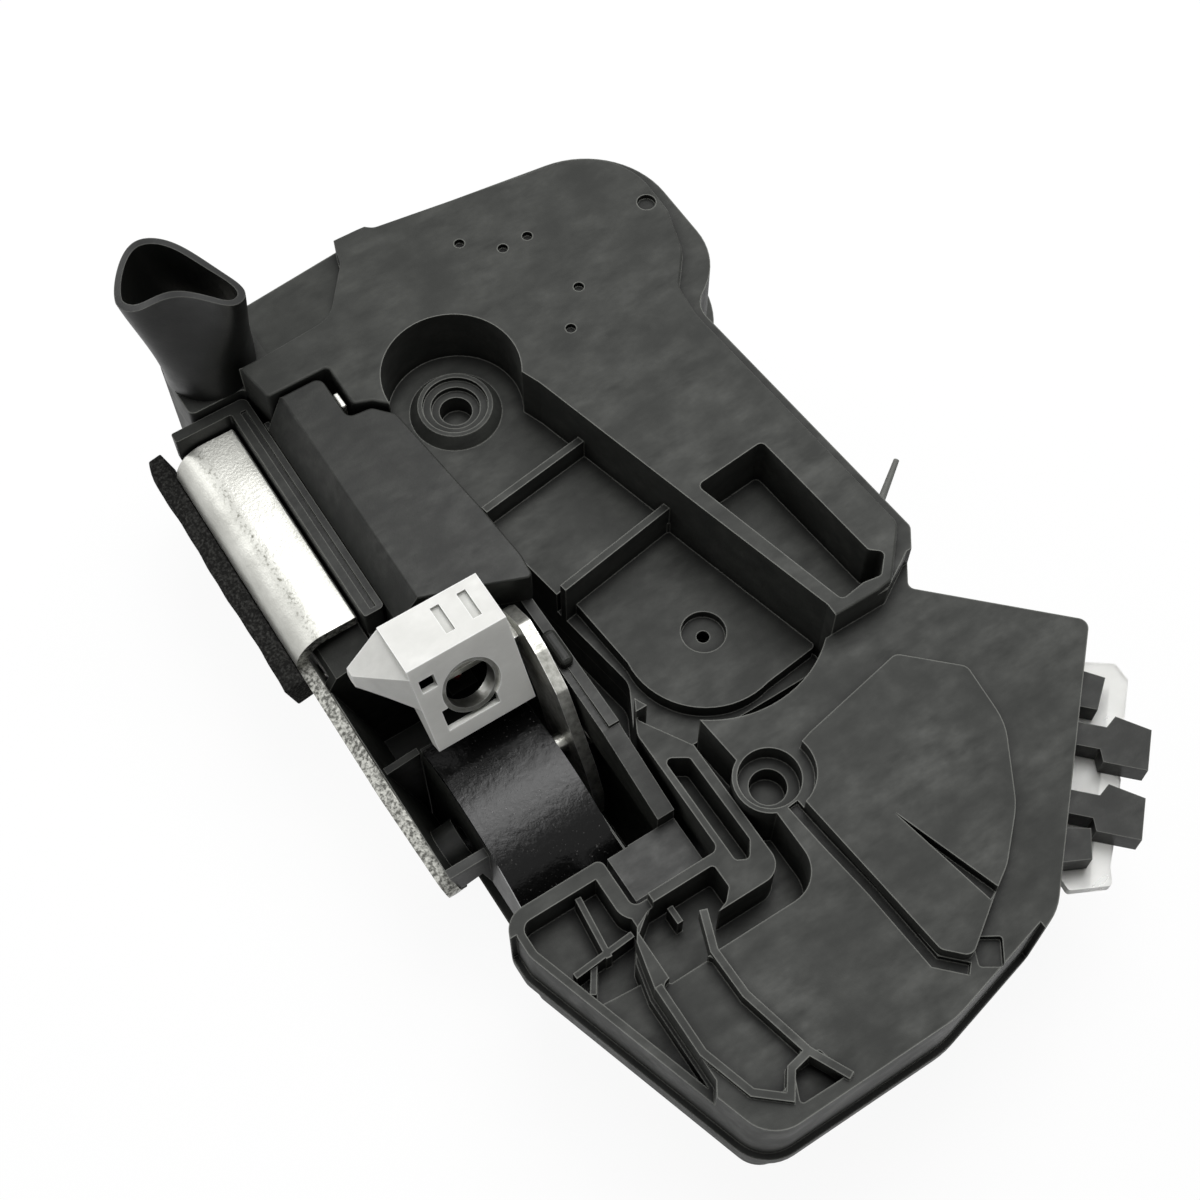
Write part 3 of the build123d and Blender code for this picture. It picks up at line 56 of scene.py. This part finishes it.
# The plane of the latch plate: up it and out of it.
plate_tilt = math.radians(13.5)
plate_up = Vector((0, -math.sin(plate_tilt), math.cos(plate_tilt)))
plate_out = Vector((0, -math.cos(plate_tilt), -math.sin(plate_tilt)))

# Heights on the latch plate: the crest of its flange's bend, the flange itself, and its rim.
flange_crest_y = 1.2
flange_low_z = 22          # the flange lies above this
rim_top_z = 18.6           # and the plate's sheared rim below this


# ------------------------------------------------------------------ shader nodes
def linear(code):
    """Linear colour of an sRGB hex code."""
    parts = [int(code[i:i + 2], 16) / 255 for i in (1, 3, 5)]
    return tuple(part / 12.92 if part <= 0.04045 else ((part + 0.055) / 1.055) ** 2.4
                 for part in parts) + (1.0,)


def node(tree, kind, links=None, **settings):
    """Adds a shader node; settings are properties or inputs, links join sockets to inputs."""
    made = tree.nodes.new(kind)
    for name, value in settings.items():
        if hasattr(made, name):
            setattr(made, name, value)
        else:
            made.inputs[name.replace("_", " ")].default_value = value
    for name, source in (links or {}).items():
        tree.links.new(source, made.inputs[name])
    return made


def calculated(tree, operation, *values, kind="ShaderNodeMath", result=0):
    """Output socket of a maths node; each value is a socket, a number or a vector."""
    made = node(tree, kind, operation=operation)
    for place, value in enumerate(values):
        if isinstance(value, bpy.types.NodeSocket):
            tree.links.new(value, made.inputs[place])
        else:
            made.inputs[place].default_value = value
    return made.outputs[result]


def dot(tree, first, second):
    """Dot product of two vectors, each a socket or a tuple."""
    return calculated(tree, "DOT_PRODUCT", first, second, kind="ShaderNodeVectorMath",
                      result="Value")


def spread(tree, value, low, high, to_low=0.0, to_high=1.0):
    """Spreads a socket's values between low and high over another range, and clamps them."""
    return node(tree, "ShaderNodeMapRange", {"Value": value}, From_Min=low, From_Max=high,
                To_Min=to_low, To_Max=to_high).outputs["Result"]


def mixed(tree, factor, first, second):
    """Colour mix by a factor socket; first and second are hex codes or colour sockets."""
    made = node(tree, "ShaderNodeMix", {"Factor": factor}, data_type="RGBA")
    for name, source in (("A", first), ("B", second)):
        if isinstance(source, str):
            made.inputs[name].default_value = linear(source)
        else:
            tree.links.new(source, made.inputs[name])
    return made.outputs["Result"]


def new_material(name):
    """An empty node material, its tree and its object coordinates."""
    made = bpy.data.materials.new(name)
    made.use_nodes = True
    tree = made.node_tree
    tree.nodes.clear()
    place = node(tree, "ShaderNodeTexCoord").outputs["Object"]
    return made, tree, place


def finish_material(tree, shader):
    """Joins a shader to the material's output."""
    node(tree, "ShaderNodeOutputMaterial", {"Surface": shader.outputs[0]})


def per_metre(size_mm):
    """Texture scale that gives a feature of that size."""
    return 1000 / size_mm


def noise(tree, place, size_mm, detail=3.0, low=0.3, high=0.7):
    """Noise of a size, spread from 0 to 1 between two of its levels."""
    made = node(tree, "ShaderNodeTexNoise", {"Vector": place}, Scale=per_metre(size_mm),
                Detail=detail, Roughness=0.6)
    return spread(tree, made.outputs["Fac"], low, high)


def painted_crevice_shade(tree, reach_mm, closed=0.35, clear=0.95):
    """Mask for painted shade: 1 in corners and narrow gaps, where shade falls, 0 on open faces."""
    around = node(tree, "ShaderNodeAmbientOcclusion", samples=4, Distance=reach_mm * MM)
    return spread(tree, around.outputs["AO"], closed, clear, 1.0, 0.0)


def edge_highlight_and_wear_mask(tree, radius_mm, low=0.01, high=0.2):
    """White along edges, where a paler edge is painted as a highlight (on metal, partly as wear):
    where the rounded normal leaves the true one.
    """
    rounded = node(tree, "ShaderNodeBevel", samples=4, Radius=radius_mm * MM)
    true = node(tree, "ShaderNodeNewGeometry")
    agree = dot(tree, rounded.outputs["Normal"], true.outputs["Normal"])
    return spread(tree, agree, 1 - low, 1 - high)


def relief(tree, height, depth_mm, strength):
    """Bump of a height socket."""
    return node(tree, "ShaderNodeBump", {"Height": height}, Strength=strength,
                Distance=depth_mm * MM).outputs["Normal"]


# ------------------------------------------------------------------ kinds of material
def moulded(name, dark, pale, edge, roughness, grain_mm=0.4, grain=0.15, blotch_mm=13,
            highlight_edge_mm=0.5, specular=0.14, sheen_spread=0.08, subsurface=0.0, transmission=0.0,
            shade="#040404"):
    """Moulded thermoplastic: flow blotches in colour and sheen, fine grain, paler edges painted as
    a highlight, and shade painted into corners and narrow gaps.

    Shade is the colour of the shade painted into corners and narrow gaps; an empty one leaves them
    out.
    """
    painted_shade_reach_mm = 3
    grain_depth_mm = 0.06
    streak_size = 0.3          # of a blotch
    streak_stretch = (1.0, 0.45, 1.0)
    scatter_depth = 3 * MM
    even_scatter = (1, 1, 1)

    made, tree, place = new_material(name)
    cloud = noise(tree, place, blotch_mm, detail=5.0)
    stretched = node(tree, "ShaderNodeMapping", {"Vector": place}, Scale=streak_stretch)
    streak = noise(tree, stretched.outputs["Vector"], blotch_mm * streak_size)
    flow = calculated(tree, "MULTIPLY", cloud, streak)
    sheen = spread(tree, flow, 0.0, 1.0, roughness + sheen_spread, roughness - sheen_spread)
    body = mixed(tree, flow, dark, pale)
    # Painted shade: corners and narrow gaps are darkened towards the shade colour.
    if shade:
        body = mixed(tree, painted_crevice_shade(tree, painted_shade_reach_mm), body, shade)
    # Paler colour along edges is a painted edge highlight.
    shader = node(tree, "ShaderNodeBsdfPrincipled", {
        "Base Color": mixed(tree, edge_highlight_and_wear_mask(tree, highlight_edge_mm), body, edge),
        "Roughness": sheen,
        "Normal": relief(tree, noise(tree, place, grain_mm, 2.0), grain_depth_mm, grain)},
        IOR=1.49, Specular_IOR_Level=specular, Subsurface_Weight=subsurface,
        Subsurface_Scale=scatter_depth, Subsurface_Radius=even_scatter,
        Transmission_Weight=transmission)
    finish_material(tree, shader)
    return made


def metal(name, base, dark, roughness, patch_mm=4, grain_mm=0.5, grain=0.15, edge="#f0f0ec"):
    """Metal with patchy brightness, dark flecks, a fine relief and bright edges, partly wear and
    partly a painted highlight.
    """
    fleck, fleck_mm = "#5c5c58", 0.9
    fleck_levels = (0.72, 0.78)
    worn_and_highlight_edge_mm = 0.3
    grain_depth_mm = 0.08

    made, tree, place = new_material(name)
    tint = mixed(tree, noise(tree, place, patch_mm, 5.0), base, dark)
    spots = mixed(tree, noise(tree, place, fleck_mm, 4.0, *fleck_levels), tint, fleck)
    # Bright edges: partly wear, partly a painted highlight.
    shader = node(tree, "ShaderNodeBsdfPrincipled", {
        "Base Color": mixed(tree, edge_highlight_and_wear_mask(tree, worn_and_highlight_edge_mm), spots, edge),
        "Normal": relief(tree, noise(tree, place, grain_mm), grain_depth_mm, grain)},
        Metallic=1.0, Roughness=roughness)
    finish_material(tree, shader)
    return made


def dipped(name, base, wrinkle_mm, wrinkling, roughness):
    """Glossy paint dip over pressed steel: wrinkles, runs and fine dust."""
    dust, dust_mm = "#4c4c4a", 0.5
    dust_levels = (0.66, 0.76)
    wrinkle_depth_mm = 0.35

    made, tree, place = new_material(name)
    wrinkle = noise(tree, place, wrinkle_mm, 5.0)
    shader = node(tree, "ShaderNodeBsdfPrincipled", {
        "Base Color": mixed(tree, noise(tree, place, dust_mm, 2.0, *dust_levels), base, dust),
        "Normal": relief(tree, wrinkle, wrinkle_depth_mm, wrinkling)},
        Roughness=roughness, IOR=1.5, Specular_IOR_Level=0.18)
    finish_material(tree, shader)
    return made


def scuffed_zinc(name):
    """Bright zinc plate: a scuffed band along the crest of its flange, and torn cut edges."""
    clean, clouded, clouds_mm = "#cacac4", "#acaca6", 9
    fleck, fleck_mm, fleck_levels = "#9a9a94", 1.1, (0.7, 0.78)
    scuff, scuff_grit_mm, scuff_levels = "#77776f", 0.8, (0.5, 0.66)
    scuff_from_mm, scuff_to_mm = 0.2, 1.5          # half width of the band, full and faded
    torn_pale, torn_dark, torn_mm, torn_levels = "#a9a9a3", "#4f4f4b", 0.7, (0.4, 0.6)
    cut_facing = (0.2, 0.5)    # a cut edge is square to the plate's own direction
    end_facing = 0.3           # and an end is turned along the plate
    grain_mm, grain_depth_mm, grain = 0.7, 0.1, 0.25

    made, tree, place = new_material(name)
    parts = node(tree, "ShaderNodeSeparateXYZ", {"Vector": place})

    zinc = mixed(tree, noise(tree, place, clouds_mm, 5.0), clean, clouded)
    zinc = mixed(tree, noise(tree, place, fleck_mm, 4.0, *fleck_levels), zinc, fleck)

    from_crest = calculated(tree, "SUBTRACT", parts.outputs["Y"], flange_crest_y * MM)
    band = spread(tree, calculated(tree, "ABSOLUTE", from_crest), scuff_from_mm * MM,
                  scuff_to_mm * MM, 1.0, 0.0)
    on_flange = calculated(tree, "GREATER_THAN", parts.outputs["Z"], flange_low_z * MM)
    grit = noise(tree, place, scuff_grit_mm, 6.0, *scuff_levels)
    scuffs = calculated(tree, "MULTIPLY", calculated(tree, "MULTIPLY", band, grit), on_flange)
    scuffed = mixed(tree, scuffs, zinc, scuff)

    face = node(tree, "ShaderNodeNewGeometry").outputs["True Normal"]
    facing = calculated(tree, "ABSOLUTE", dot(tree, face, tuple(plate_out)))
    on_plate = calculated(tree, "LESS_THAN", parts.outputs["Z"], rim_top_z * MM)
    rim = calculated(tree, "MULTIPLY", spread(tree, facing, *cut_facing, 1.0, 0.0), on_plate)
    sideways = node(tree, "ShaderNodeSeparateXYZ", {"Vector": face}).outputs["X"]
    end = calculated(tree, "GREATER_THAN", calculated(tree, "ABSOLUTE", sideways), end_facing)
    torn = mixed(tree, noise(tree, place, torn_mm, 5.0, *torn_levels), torn_pale, torn_dark)

    shader = node(tree, "ShaderNodeBsdfPrincipled", {
        "Base Color": mixed(tree, calculated(tree, "MAXIMUM", rim, end), scuffed, torn),
        "Normal": relief(tree, noise(tree, place, grain_mm), grain_depth_mm, grain)},
        Metallic=0.85, Roughness=0.42)
    finish_material(tree, shader)
    return made


def foamed(name):
    """Closed-cell foam: matt charcoal with open pits on its cut faces."""
    dark, pale, tint_mm, tint_levels = "#151514", "#3c3c3a", 0.6, (0.45, 0.75)
    pit_mm, pit_levels, pit_depth_mm, pitting = 0.9, (0.1, 0.5), 0.3, 0.6

    made, tree, place = new_material(name)
    cells = node(tree, "ShaderNodeTexVoronoi", {"Vector": place}, Scale=per_metre(pit_mm))
    pits = spread(tree, cells.outputs["Distance"], *pit_levels)
    shader = node(tree, "ShaderNodeBsdfPrincipled", {
        "Base Color": mixed(tree, noise(tree, place, tint_mm, 3.0, *tint_levels), dark, pale),
        "Normal": relief(tree, pits, pit_depth_mm, pitting)},
        Roughness=0.95, Specular_IOR_Level=0.1)
    finish_material(tree, shader)
    return made


# ------------------------------------------------------------------ materials
# In each moulded material below, the third colour is a pale edge painted as a highlight, and shade
# is the colour of the shade painted into corners and gaps.
casing_polypropylene = moulded("casing_moulded_polypropylene", "#2b2c2a", "#454643", "#7c7d78",
                               0.48)
latch_polyamide = moulded("latch_moulded_polyamide", "#191a18", "#30312e", "#666762", 0.4,
                          blotch_mm=8, highlight_edge_mm=0.35, specular=0.2)
funnel_polypropylene = moulded("funnel_moulded_polypropylene", "#0b0c0b", "#161715", "#454642",
                               0.36, blotch_mm=9, specular=0.3)
charcoal_foam = foamed("seal_closed_cell_foam")
bright_zinc = scuffed_zinc("plate_bright_zinc_steel")
lever_zinc = metal("lever_zinc_steel", "#c4c4be", "#8b8b84", 0.42, patch_mm=1.4, grain=0.4)
turned_steel = metal("rivet_turned_steel", "#c4c4c0", "#97978f", 0.3, patch_mm=2)
pressed_steel = metal("fork_pressed_steel", "#8b8b88", "#6a6a66", 0.45)
dip_coat = dipped("saddle_black_dip_coat", "#050505", 1.8, 0.14, 0.2)
white_acetal = moulded("clip_natural_acetal", "#cacac6", "#d8d8d4", "#ececea", 0.36, grain=0.04,
                       blotch_mm=9, specular=0.5, subsurface=0.35, shade="#a4a59f")
gear_acetal = moulded("gear_natural_acetal", "#cfcdc4", "#d8d6ce", "#e4e2da", 0.4, grain=0.05,
                      shade="#8f8d85")
filled_nylon = moulded("lever_filled_nylon", "#3a3a38", "#4a4a47", "#6c6c69", 0.5)
soft_rubber = moulded("gasket_soft_rubber", "#141414", "#1c1c1b", "#2a2a29", 0.8, grain=0.2)
spring_wire = metal("spring_drawn_wire", "#9a9a96", "#77776f", 0.35, patch_mm=1)
tin_brass = metal("terminal_tinned_brass", "#c9b37a", "#a98f55", 0.35, patch_mm=2,
                  edge="#e0cfa0")
red_acetal = moulded("plunger_red_acetal", "#8a241b", "#a02f25", "#c0564a", 0.4, grain=0.05,
                     shade="#3a0f0b")
natural_nylon = moulded("link_natural_nylon", "#dcdcd8", "#ececea", "#f6f6f4", 0.3, grain=0.05,
                        specular=0.5, transmission=0.55, shade="")
tie_nylon = moulded("tie_grey_nylon", "#5a5b58", "#70716d", "#8d8e89", 0.45, shade="")

slot_materials = {
    "casing_plastic": casing_polypropylene, "latch_plastic": latch_polyamide,
    "funnel_plastic": funnel_polypropylene, "foam": charcoal_foam, "zinc_plate": bright_zinc,
    "rivet_steel": turned_steel, "fork_steel": pressed_steel, "bumper_rubber": soft_rubber,
    "ecoat_steel": dip_coat, "lever_steel": lever_zinc, "spring_steel": spring_wire,
    "white_acetal": white_acetal, "motor_can": turned_steel, "worm_steel": turned_steel,
    "gear_acetal": gear_acetal, "lever_nylon": filled_nylon, "screw_zinc": turned_steel,
    "gasket_rubber": soft_rubber, "connector_plastic": latch_polyamide,
    "terminal_brass": tin_brass, "switch_plastic": latch_polyamide,
    "plunger_acetal": red_acetal, "key_acetal": gear_acetal, "hook_nylon": latch_polyamide,
    "link_nylon": natural_nylon,
}
own_materials = {"tie_pin": tie_nylon}
slot_of = {part["node"]: part["material_slot"] for part in frame["record"]["subparts"]}
for name, made in frame["nodes"].items():
    made.data.materials.clear()
    made.data.materials.append(own_materials.get(name) or slot_materials[slot_of[name]])


# ------------------------------------------------------------------ pieces of the scene
def piece_from(shape, name, material, body="housing"):
    """Turns a bmesh, in metres and in place, into a piece that rides on a body."""
    bmesh.ops.recalc_face_normals(shape, faces=shape.faces)
    data = bpy.data.meshes.new(name)
    shape.to_mesh(data)
    shape.free()
    data.materials.append(material)
    made = bpy.data.objects.new(name, data)
    bpy.context.scene.collection.objects.link(made)
    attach(made, body)
    return made


def block(low, high, rounding, segments=3, cuts=0):
    """Rounded block between two corners, with cuts across its length."""
    square_edge = 0.5          # radians between faces, above which an edge is rounded
    shape = bmesh.new()
    bmesh.ops.create_cube(shape, size=1.0)
    size = [b - a for a, b in zip(low, high)]
    middle = [(a + b) / 2 for a, b in zip(low, high)]
    bmesh.ops.scale(shape, vec=[d * MM for d in size], verts=shape.verts)
    bmesh.ops.translate(shape, vec=[d * MM for d in middle], verts=shape.verts)
    if cuts:
        half_length = 0.5 * size[0] * MM
        along = [edge for edge in shape.edges
                 if abs((edge.verts[0].co - edge.verts[1].co).x) > half_length]
        bmesh.ops.subdivide_edges(shape, edges=along, cuts=cuts, use_grid_fill=True)
    sharp = [edge for edge in shape.edges if edge.calc_face_angle(0) > square_edge]
    bmesh.ops.bevel(shape, geom=sharp, offset=rounding * MM, offset_type="OFFSET", affect="EDGES",
                    segments=segments, profile=0.5, material=-1)
    return shape


# Foam seal: a strip laid out along, up and out of the latch plate. Its outer face and its upper
# side are set back unevenly, and it thins towards its far end.
strip_low, strip_high = (-102, 12.5, 0.0), (-39.5, 20.5, 4.4)
long_wave, long_wave_rate = 0.12, 0.21     # height, and radians per millimetre
short_wave, short_wave_rate = 0.06, 0.73
face_from, face_depth, face_back = 1, 3.4, 0.18
side_from, side_depth, side_back = 18, 2.5, 0.2
thin_from, thin_length, thinning = -94, 8, 0.3
strip = block(strip_low, strip_high, 0.4, cuts=40)
for vert in strip.verts:
    along, up, out = vert.co / MM
    ripple = (long_wave * math.sin(along * long_wave_rate)
              + short_wave * math.sin(along * short_wave_rate + up))
    out -= max(0.0, (out - face_from) / face_depth) * (face_back + ripple)
    up -= max(0.0, (up - side_from) / side_depth) * (side_back + ripple)
    thinner = max(0.0, (thin_from - along) / thin_length)
    out -= out * thinning * thinner ** 2
    vert.co = (Vector((along, 0, 0)) + plate_up * up + plate_out * out) * MM
foam = piece_from(strip, "foam_strip", charcoal_foam)
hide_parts("foam_seal")

# Bright tongue beside the lid: above its shoulder it tapers, more on its far side.
tongue_low, tongue_high = (-84.2, 28.55, 24.0), (-78.6, 29.7, 38.6)
tongue_middle, tongue_shoulder = -81.4, 34
far_taper, near_taper = 0.25, -0.15        # sideways per unit of height
tongue = block(tongue_low, tongue_high, 0.4)
for vert in tongue.verts:
    taper = far_taper if vert.co.x < tongue_middle * MM else near_taper
    vert.co.x += max(0.0, vert.co.z - tongue_shoulder * MM) * taper
piece_from(tongue, "lid_tongue", bright_zinc)

# Hump on the wall beside the release lever.
hump_low, hump_high = (-17.8, 36.5, 29.4), (-9.5, 39.6, 32.3)
hump = block(hump_low, hump_high, 1.3, segments=4)
piece_from(hump, "wall_hump", latch_polyamide)


# ------------------------------------------------------------------ stage, light and camera
def seen_directly(tree):
    """1 for camera, glossy and transmission rays, which see the white background."""
    rays = node(tree, "ShaderNodeLightPath").outputs
    shown = calculated(tree, "MAXIMUM", rays["Is Camera Ray"], rays["Is Glossy Ray"])
    return calculated(tree, "MAXIMUM", shown, rays["Is Transmission Ray"])


def aimed(obj, place, target):
    """Puts an object at a place, looking at a target."""
    here, there = Vector(place) * MM, Vector(target) * MM
    obj.location = here
    obj.rotation_euler = (there - here).to_track_quat("-Z", "Y").to_euler()


def softbox(name, place, target, size, power):
    """Square area lamp of a size, with its power in watts."""
    lamp = bpy.data.lights.new(name, "AREA")
    lamp.shape = "SQUARE"
    lamp.size = size * MM
    lamp.energy = power
    made = bpy.data.objects.new(name, lamp)
    bpy.context.scene.collection.objects.link(made)
    aimed(made, place, target)


# White paper under the part: it takes shadows, and its own glow keeps it pale.
floor_reach = 3000
floor_clearance = 0.2
paper_glow = 0.93
floor_z = min(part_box(name)[0][2] for name in ("latch_housing", "rear_housing"))
floor_mesh = bmesh.new()
bmesh.ops.create_grid(floor_mesh, x_segments=1, y_segments=1, size=floor_reach * MM)
bmesh.ops.translate(floor_mesh, verts=floor_mesh.verts,
                    vec=(0, 0, floor_z - floor_clearance * MM))
floor_data = bpy.data.meshes.new("floor")
floor_mesh.to_mesh(floor_data)
floor_mesh.free()
floor = bpy.data.objects.new("floor", floor_data)
bpy.context.scene.collection.objects.link(floor)
floor_paper, tree, place = new_material("floor_white_paper")
paper = node(tree, "ShaderNodeBsdfDiffuse", Color=linear("#f4f4f4"))
glow = node(tree, "ShaderNodeEmission", Color=WHITE, Strength=1.0)
share = calculated(tree, "MULTIPLY", seen_directly(tree), paper_glow)
finish_material(tree, node(tree, "ShaderNodeMixShader", {0: share, 1: paper.outputs[0],
                                                         2: glow.outputs[0]}))
floor.data.materials.append(floor_paper)

# White surroundings that are bright to look at and dim as a source of light.
sky_light, sky_seen = 0.15, 1.0
world = bpy.data.worlds.new("studio")
bpy.context.scene.world = world
world.use_nodes = True
tree = world.node_tree
tree.nodes.clear()
strength = spread(tree, seen_directly(tree), 0.0, 1.0, sky_light, sky_seen)
sky = node(tree, "ShaderNodeBackground", {"Strength": strength}, Color=WHITE)
node(tree, "ShaderNodeOutputWorld", {"Surface": sky.outputs[0]})

softbox("key_softbox", (-250, 330, 740), (-20, 60, 20), 460, 4.2)
softbox("top_softbox", (-60, 100, 820), (-20, 60, 20), 360, 3.0)
softbox("left_softbox", (-600, -300, 300), (-20, 40, 20), 400, 1.6)

camera_place = (127.3, -43.0, 356.1)
camera_target = (-14, 48, 40)
camera_data = bpy.data.cameras.new("camera")
camera_data.lens = 57
camera_data.sensor_width = 36
camera_data.clip_start = 0.01
camera = bpy.data.objects.new("camera", camera_data)
bpy.context.scene.collection.objects.link(camera)
aimed(camera, camera_place, camera_target)
bpy.context.scene.camera = camera
bpy.context.scene.view_settings.view_transform = "Standard"
